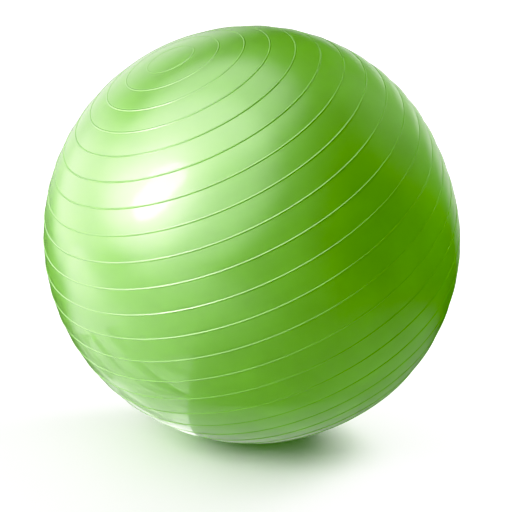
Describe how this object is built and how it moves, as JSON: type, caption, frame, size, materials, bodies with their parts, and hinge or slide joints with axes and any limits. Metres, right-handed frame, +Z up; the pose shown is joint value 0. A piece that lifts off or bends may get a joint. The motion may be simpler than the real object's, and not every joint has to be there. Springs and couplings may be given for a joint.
{
  "type": "exercise ball",
  "caption": "Large inflatable exercise ball with raised parallel grip rings round a tilted axis, a flat resting patch and a push-in valve plug that pulls out.",
  "frame": {"origin": "centre of the flat patch on which the ball rests, on the floor", "axes": "+Z up; +Y away from a viewer who sees the upper rib pole lean towards the near left; the valve is on the far side"},
  "size_m": [0.6506, 0.6508, 0.6487],
  "materials": {
    "skin_pvc": "satin-gloss lime green soft PVC",
    "seat_pvc": "lime green soft PVC, thick section",
    "plug_plastic": "off-white moulded polyethylene"
  },
  "bodies": {
    "ball": {"skin": "skin_pvc", "valve_seat": "seat_pvc"},
    "plug": {"valve_plug": "plug_plastic"}
  },
  "joints": [
    {"name": "plug_pull", "type": "slide", "parent": "ball", "child": "plug", "axis": [-0.3539, 0.9073, 0.2272], "range_m": [0, 0.036]}
  ]
}
